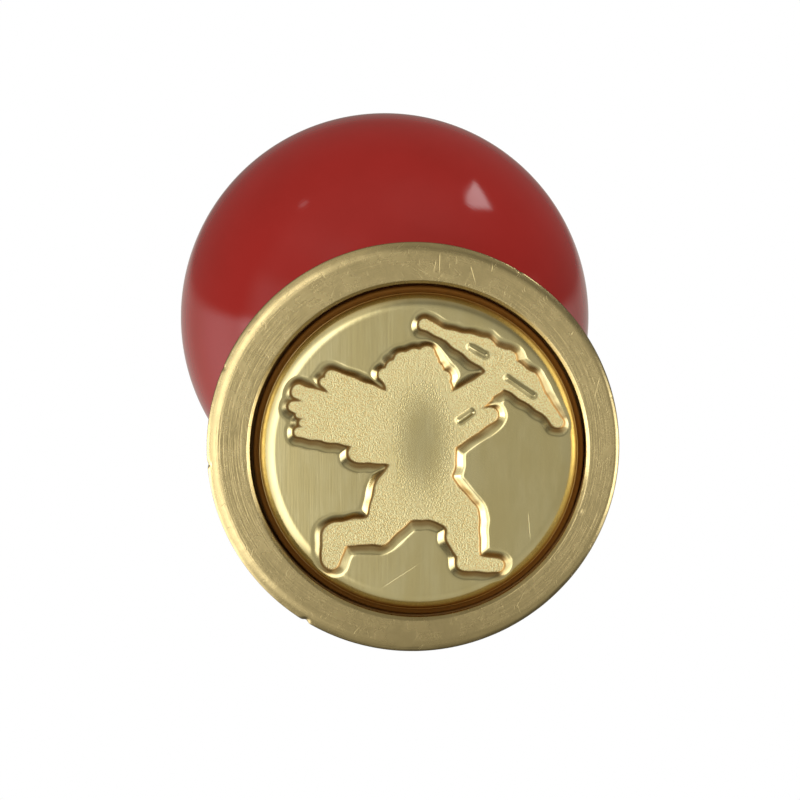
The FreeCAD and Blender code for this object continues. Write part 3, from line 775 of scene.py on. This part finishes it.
studio = {  # directions are x to the right, y down the picture and z away from the camera
    "eye": (-0.0199, -0.0918, -0.700), "aim": (-0.0008, -0.0029, 0.0), "lens": 525.0, "sensor": 36.0,
    "floorTone": linear(236, 236, 236), "floorReach": 4.0, "floorRough": 0.9,
    "floorFade": (60.0, 420.0), "speck": (3.0, 3.0), "speckShare": 0.3,  # fade and speck in millimetres
    "room": (0.16, 0.14), "roomFrom": (0.3, 0.8),  # level above and below
    "sky": 0.24, "skyUp": (-0.45, -0.85), "skyNear": (0.4, -0.4),
    "front": 0.24, "frontWay": (0.10, 0.22, -0.97), "frontReach": (0.47, 0.82), "frontDown": (-0.55, -0.25),
    "apron": 0.10, "apronDown": (0.30, 0.55), "apronNear": (-0.15, -0.45),
    "window": 1.7, "windowLeft": (0.04, 0.22), "windowSlant": (0.3, 0.5), "windowEdge": (-0.08, 0.12),
    "upper": 0.28, "upperDown": (-0.85, -0.6), "lowerDown": (-0.42, -0.24),  # its upper panes are dimmer
    "windowNear": (0.05, -0.25), "windowDim": 0.55, "dimLeft": (0.35, 0.8),
    "cards": [  # side, edge, top, foot, depth, level: pale cards that only the gloss shows
        (1, (0.78, 0.90), (-0.30, -0.10), (0.65, 0.40), (0.25, 0.0), 1.6),
        (-1, (0.80, 0.92), (-0.06, 0.04), (0.45, 0.28), (0.1, -0.1), 1.5),
    ],
    "table": (1.85, 0.33), "tableAway": (0.1, 0.8),  # level near and far
    "tableDown": (-0.03, 0.06), "tableSlant": 0.25, "tableFoot": (0.45, 0.80), "tableNear": (-0.6, -0.25),
    "backdrop": 0.08, "backdropFrom": (0.88, 0.98), "tint": (1.0, 0.985, 0.90, 1.0), "tintRange": (0.3, 1.3),
    "key": (0.617, -0.762, 0.186), "keyAxes": ((-0.038, 0.2075, 0.977), (0.783, 0.610, -0.099)),
    "keyLevel": 5.6, "keyReach": (0.85, 0.88), "keyEdge": (-0.018, 0.032),
    "keySides": [(0.127, -0.019, 1.514), (0.137, 0.453, 1.155), (0.133, 0.692, 0.077),
                 (0.123, 0.540, -0.938), (0.061, -0.645, -0.566)],  # a lamp with five uneven sides
    "spark": ((-0.581, -0.813, 0.031), (0.9988, 0.9997), 1.5),
    "lamps": [  # place, size across, watts: soft, and not mirrored in the brass
        ((0.24, -0.83, -0.12), 0.5, 3.9),
        ((0.25, -0.15, 0.85), 0.5, 2.0),
        ((-0.40, 0.50, 0.60), 0.5, 1.6),
    ],
    "lampAim": (0, 0, 0.04),
}


def aimed(way, direction, low, high):  # soft round patch of light around a direction
    return way.towards(tuple(Vector(direction).normalized())).smooth(low, high)


def windowLight(x, y, z, spec):
    left = 0 - x
    start, slant = spec["windowSlant"]
    shape = left.smooth(*spec["windowLeft"]) * (start - slant * x - y).smooth(*spec["windowEdge"])
    upper = y.smooth(*spec["upperDown"]) * spec["upper"]
    lower = y.smooth(*spec["lowerDown"]) * (1 - spec["upper"])
    dim = 1 - left.smooth(*spec["dimLeft"]) * spec["windowDim"]
    return shape * (upper + lower) * z.smooth(*spec["windowNear"]) * dim * spec["window"]


def keyLamp(way, spec):
    along, across = [way.towards(axis) for axis in spec["keyAxes"]]
    lamp = aimed(way, spec["key"], *spec["keyReach"])
    for offset, lengthwise, sideways in spec["keySides"]:
        lamp = lamp * (along * lengthwise + across * sideways + offset).smooth(*spec["keyEdge"])
    return lamp * spec["keyLevel"]


def makeSurroundings(spec):
    world = bpy.data.worlds.new("surroundings")
    bpy.context.scene.world = world
    world.use_nodes = True
    world.node_tree.nodes.clear()
    start = Wire(world.node_tree)
    way = start.node("TexCoord", {}, {}, "Generated")
    x, y, z = way.parts()
    above, below = spec["room"]
    level = above + y.smooth(*spec["roomFrom"]) * (below - above)
    level = level + y.smooth(*spec["skyUp"]) * z.smooth(*spec["skyNear"]) * spec["sky"]
    front = aimed(way, spec["frontWay"], *spec["frontReach"])
    level = level + front * y.smooth(*spec["frontDown"]) * spec["front"]
    level = level + y.smooth(*spec["apronDown"]) * z.smooth(*spec["apronNear"]) * spec["apron"]
    level = level + windowLight(x, y, z, spec)
    mirrored = start.node("LightPath", {}, {}, "Is Glossy Ray")
    for side, edge, top, foot, depth, strength in spec["cards"]:
        card = (x * side).smooth(*edge) * y.smooth(*top) * y.smooth(*foot) * z.smooth(*depth)
        level = level + card * mirrored * strength
    near, far = spec["table"]
    slanted = y + spec["tableSlant"] * x
    table = y.smooth(*spec["tableDown"]) * (1 - slanted.smooth(*spec["tableFoot"]))
    table = table * z.smooth(*spec["tableNear"])
    level = level + table * (near + z.smooth(*spec["tableAway"]) * (far - near))
    level = level + z.smooth(*spec["backdropFrom"]) * (1 - table) * spec["backdrop"]
    level = level + keyLamp(way, spec)
    direction, edge, strength = spec["spark"]
    level = level + aimed(way, direction, *edge) * strength
    seen = start.node("LightPath", {}, {}, "Is Camera Ray")  # the camera sees plain white
    level = level + (1 - level) * seen
    bright = (level.smooth(*spec["tintRange"]) + seen).smooth(0.0, 1.0)
    tint = bright.colour(spec["tint"], white)
    shown = start.node("Background", {}, {"Strength": level, "Color": tint})
    start.node("OutputWorld", {}, {"Surface": shown})
    print("surroundings have", len(world.node_tree.nodes), "nodes")


def makeFloor(spec):
    made, place = newMaterial("paleFloor")
    x, y = place.parts()[:2]
    under = place.node("NewGeometry", {}, {}, "Backfacing")  # clear from below, where the camera is
    far = fromAxis(x, y).smooth(*spec["floorFade"])
    tone = (place.noise(*spec["speck"]) * spec["speckShare"]).colour(spec["floorTone"], white)
    paper = place.node("BsdfPrincipled", {}, {"Base Color": tone, "Roughness": spec["floorRough"]})
    glow = place.node("Emission", {}, {"Color": white, "Strength": 1.0})
    clear = place.node("BsdfTransparent", {}, {})
    mixed = place.node("MixShader", {}, {0: far, 1: paper, 2: glow})
    closeMaterial(made, place.node("MixShader", {}, {0: under, 1: mixed, 2: clear}))
    reach = spec["floorReach"]
    corners = [(-reach, -reach, 0), (reach, -reach, 0), (reach, reach, 0), (-reach, reach, 0)]
    mesh = bpy.data.meshes.new("floor")
    mesh.from_pydata(corners, [], [(0, 1, 2, 3)])
    mesh.materials.append(made)
    floor = bpy.data.objects.new("floor", mesh)
    bpy.context.scene.collection.objects.link(floor)
    floor.visible_diffuse = False
    floor.visible_glossy = False
    floor.visible_transmission = False
    floor.visible_shadow = False
    print("floor reaches", reach, "m each way")


def makeLamps(spec):
    target = Vector(spec["lampAim"])
    for number, (place, size, watts) in enumerate(spec["lamps"]):
        light = bpy.data.lights.new("softLamp%d" % number, "AREA")
        light.shape = "DISK"
        light.size = size
        light.energy = watts
        lamp = bpy.data.objects.new(light.name, light)
        lamp.location = place
        lamp.rotation_euler = (target - lamp.location).to_track_quat("-Z", "Y").to_euler()
        lamp.visible_glossy = False
        bpy.context.scene.collection.objects.link(lamp)
        print(light.name, "gives", watts, "W")


def makeCamera(spec):
    eye = Vector(spec["eye"])
    forward = (Vector(spec["aim"]) - eye).normalized()
    pictureUp = Vector((0, -1, 0))
    right = forward.cross(pictureUp).normalized()
    upward = right.cross(forward)
    lensData = bpy.data.cameras.new("photoCamera")
    lensData.lens = spec["lens"]
    lensData.sensor_width = spec["sensor"]
    camera = bpy.data.objects.new("photoCamera", lensData)
    camera.matrix_world = Matrix.Translation(eye) @ Matrix((right, upward, -forward)).transposed().to_4x4()
    bpy.context.scene.collection.objects.link(camera)
    bpy.context.scene.camera = camera
    print("camera at", spec["eye"])


makeSurroundings(studio)
makeFloor(studio)
makeLamps(studio)
makeCamera(studio)
bpy.context.scene.view_settings.view_transform = "Standard"

bpy.context.view_layer.update()
